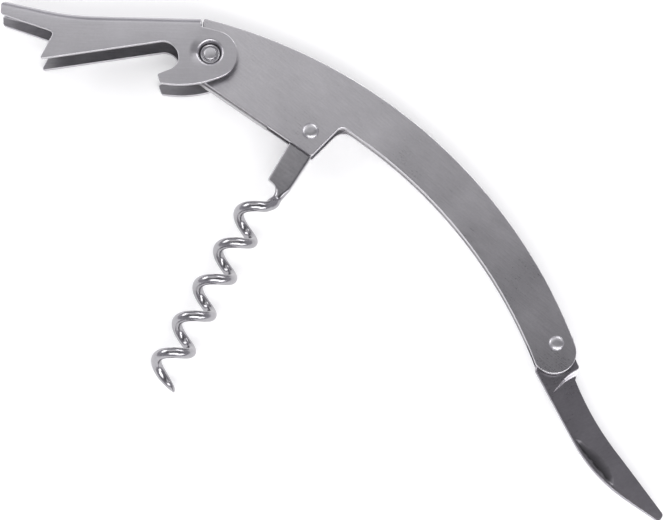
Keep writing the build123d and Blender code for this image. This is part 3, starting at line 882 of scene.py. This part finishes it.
# Rungs from spine to edge: close together at the plunge line, and spans close at the spine
rung_runs = [np.linspace(0, 0.15, 30), np.linspace(0.15, 0.36, 110)[1:], np.linspace(0.36, 1, 150)[1:]]
rungs = np.concatenate(rung_runs)
spine_line, belly_line = resampled(spine, rungs), resampled(belly, rungs)
spans = np.concatenate([SPINE_ROUND * np.linspace(0, 1, 9) ** 1.5, np.linspace(SPINE_ROUND, 1, 58)[1:]])
blade_flat = spine_line[:, None] + (belly_line - spine_line)[:, None] * spans[:, None]
blade_u, blade_v = blade_flat[..., 0], blade_flat[..., 1]

# Half thickness: full behind the plunge line's two edges, then thinner from the grind's back to
# the cutting edge, and rounded off at the spine
high_edge = [(-6.5, 9.5), (-5.64, 9.16), (-3.36, 8.18), (-1.99, 7.48), (-0.23, 7.0), (1.73, 6.86)]
low_edge = [(-6.5, 9.6), (-6.05, 9.46), (-4.53, 8.97), (-2.82, 8.58), (-1.22, 8.39), (0.28, 8.4)]
plunge_high = np.interp(blade_v, *zip(*high_edge))
plunge_low = np.interp(blade_v, *zip(*low_edge))
grind_back = np.interp(blade_u, [8.9, 20, 30, 46], [-6.3, -6.4, -5.2, 0.6])
grind_edge = np.interp(blade_u, [8.9, 19, 29, 46], [0.1, -0.33, 0.75, 4.0])
ground = np.clip((blade_v - grind_back) / (grind_edge - grind_back), 0, 1)
grind = BLADE_HALF - (BLADE_HALF - EDGE_HALF) * ground
plunge = smooth_step((blade_u - plunge_high) / np.maximum(plunge_low - plunge_high, 0.2))
spine_round = 0.3 + 0.7 * np.sqrt(1 - (1 - np.clip(spans / SPINE_ROUND, 0, 1)) ** 2)
half_thickness = (BLADE_HALF + (grind - BLADE_HALF) * plunge) * spine_round

NICK_START, NICK_END = 19.96, 34.19
nick_far = [(NICK_START, -6.37), (22.07, -4.99), (23.91, -4.27), (26.07, -3.37)]
nick_far += [(27.85, -2.87), (30.26, -2.61), (32.15, -2.86), (NICK_END, -3.6)]
nick_near = [(NICK_START, -6.37), (24.47, -5.97), (29.22, -5.0), (32.43, -4.26), (NICK_END, -3.6)]


def nick_at(along, across):
    """Depth of the nail nick: it drops steeply along a straight near side, rises evenly to an
    arched far side, and fades out at both ends."""
    far = np.interp(along, *zip(*nick_far))
    near = np.interp(along, *zip(*nick_near))
    part = (across - near) / np.maximum(far - near, 0.05)
    inside = (along > NICK_START) & (along < NICK_END)
    shape = np.where(inside, smooth_step(part / 0.1) * np.clip(1 - part, 0, 1), 0)
    return NICK_DEPTH * shape * smooth_step((far - near) / 1.6)


front = np.stack([blade_u, blade_v, HANDLE_MIDDLE + half_thickness - nick_at(blade_u, blade_v)], axis=-1)
back = np.stack([blade_u, blade_v, HANDLE_MIDDLE - half_thickness], axis=-1)
blade_skin = np.concatenate([front, back[:, ::-1]], axis=1)
blade_steel = metal(
    "blade steel",
    dark=(0.33, 0.315, 0.34),
    light=(0.43, 0.415, 0.445),
    shine=(0.95, 0.94, 0.95),
    rough=(0.26, 0.34),
    stroke=1.5,
    width=0.35,
    turn=68.0,
    relief=0.08,
)
# Painted shade in the nail nick: the blade colour darkens by the nick attribute, deepest along the near
# wall
NICK_PAINTED_SHADE = (0.10, 0.097, 0.103)
blade_tree = blade_steel.node_tree
nick_shade_node = blade_tree.nodes.new("ShaderNodeAttribute")
nick_shade_node.attribute_name = "nick"
blade_colour = blade_tree.nodes["Principled BSDF"].inputs["Base Color"]
unshaded_steel = blade_colour.links[0].from_socket
nick_shaded_colour = mixed_colour(blade_tree, nick_shade_node.outputs["Fac"], unshaded_steel, NICK_PAINTED_SHADE)
blade_tree.links.new(nick_shaded_colour, blade_colour)
blade = piece(
    "knife_foil_blade",
    in_frame(blade_skin.reshape(-1, 3), KNIFE_PIVOT, KNIFE_ANGLE),
    grid_faces(*blade_skin.shape[:2], True),
    "knife",
    "knife_blade",
    slot="blade_steel",
    paint=blade_steel,
)
drill(blade, KNIFE_PIVOT, 1.25)
# How much painted shade each point gets: the nick's depth there, or just across from it on its near wall
WALL_REACH = 0.2
marked = np.empty(3 * len(blade.data.vertices))
blade.data.vertices.foreach_get("co", marked)
marked = marked.reshape(-1, 3) / MM - [*KNIFE_PIVOT, HANDLE_MIDDLE]
marked_along = marked[:, 0] * cos(KNIFE_ANGLE) + marked[:, 1] * sin(KNIFE_ANGLE)
marked_across = marked[:, 1] * cos(KNIFE_ANGLE) - marked[:, 0] * sin(KNIFE_ANGLE)
nick_here = nick_at(marked_along, marked_across)
nick_beside = nick_at(marked_along, marked_across + WALL_REACH)
nick_shade = np.maximum(nick_here, nick_beside) / NICK_DEPTH
mark = np.where(marked[:, 2] > 0, nick_shade**0.7, 0)
blade.data.attributes.new("nick", "FLOAT", "POINT").data.foreach_set("value", mark)
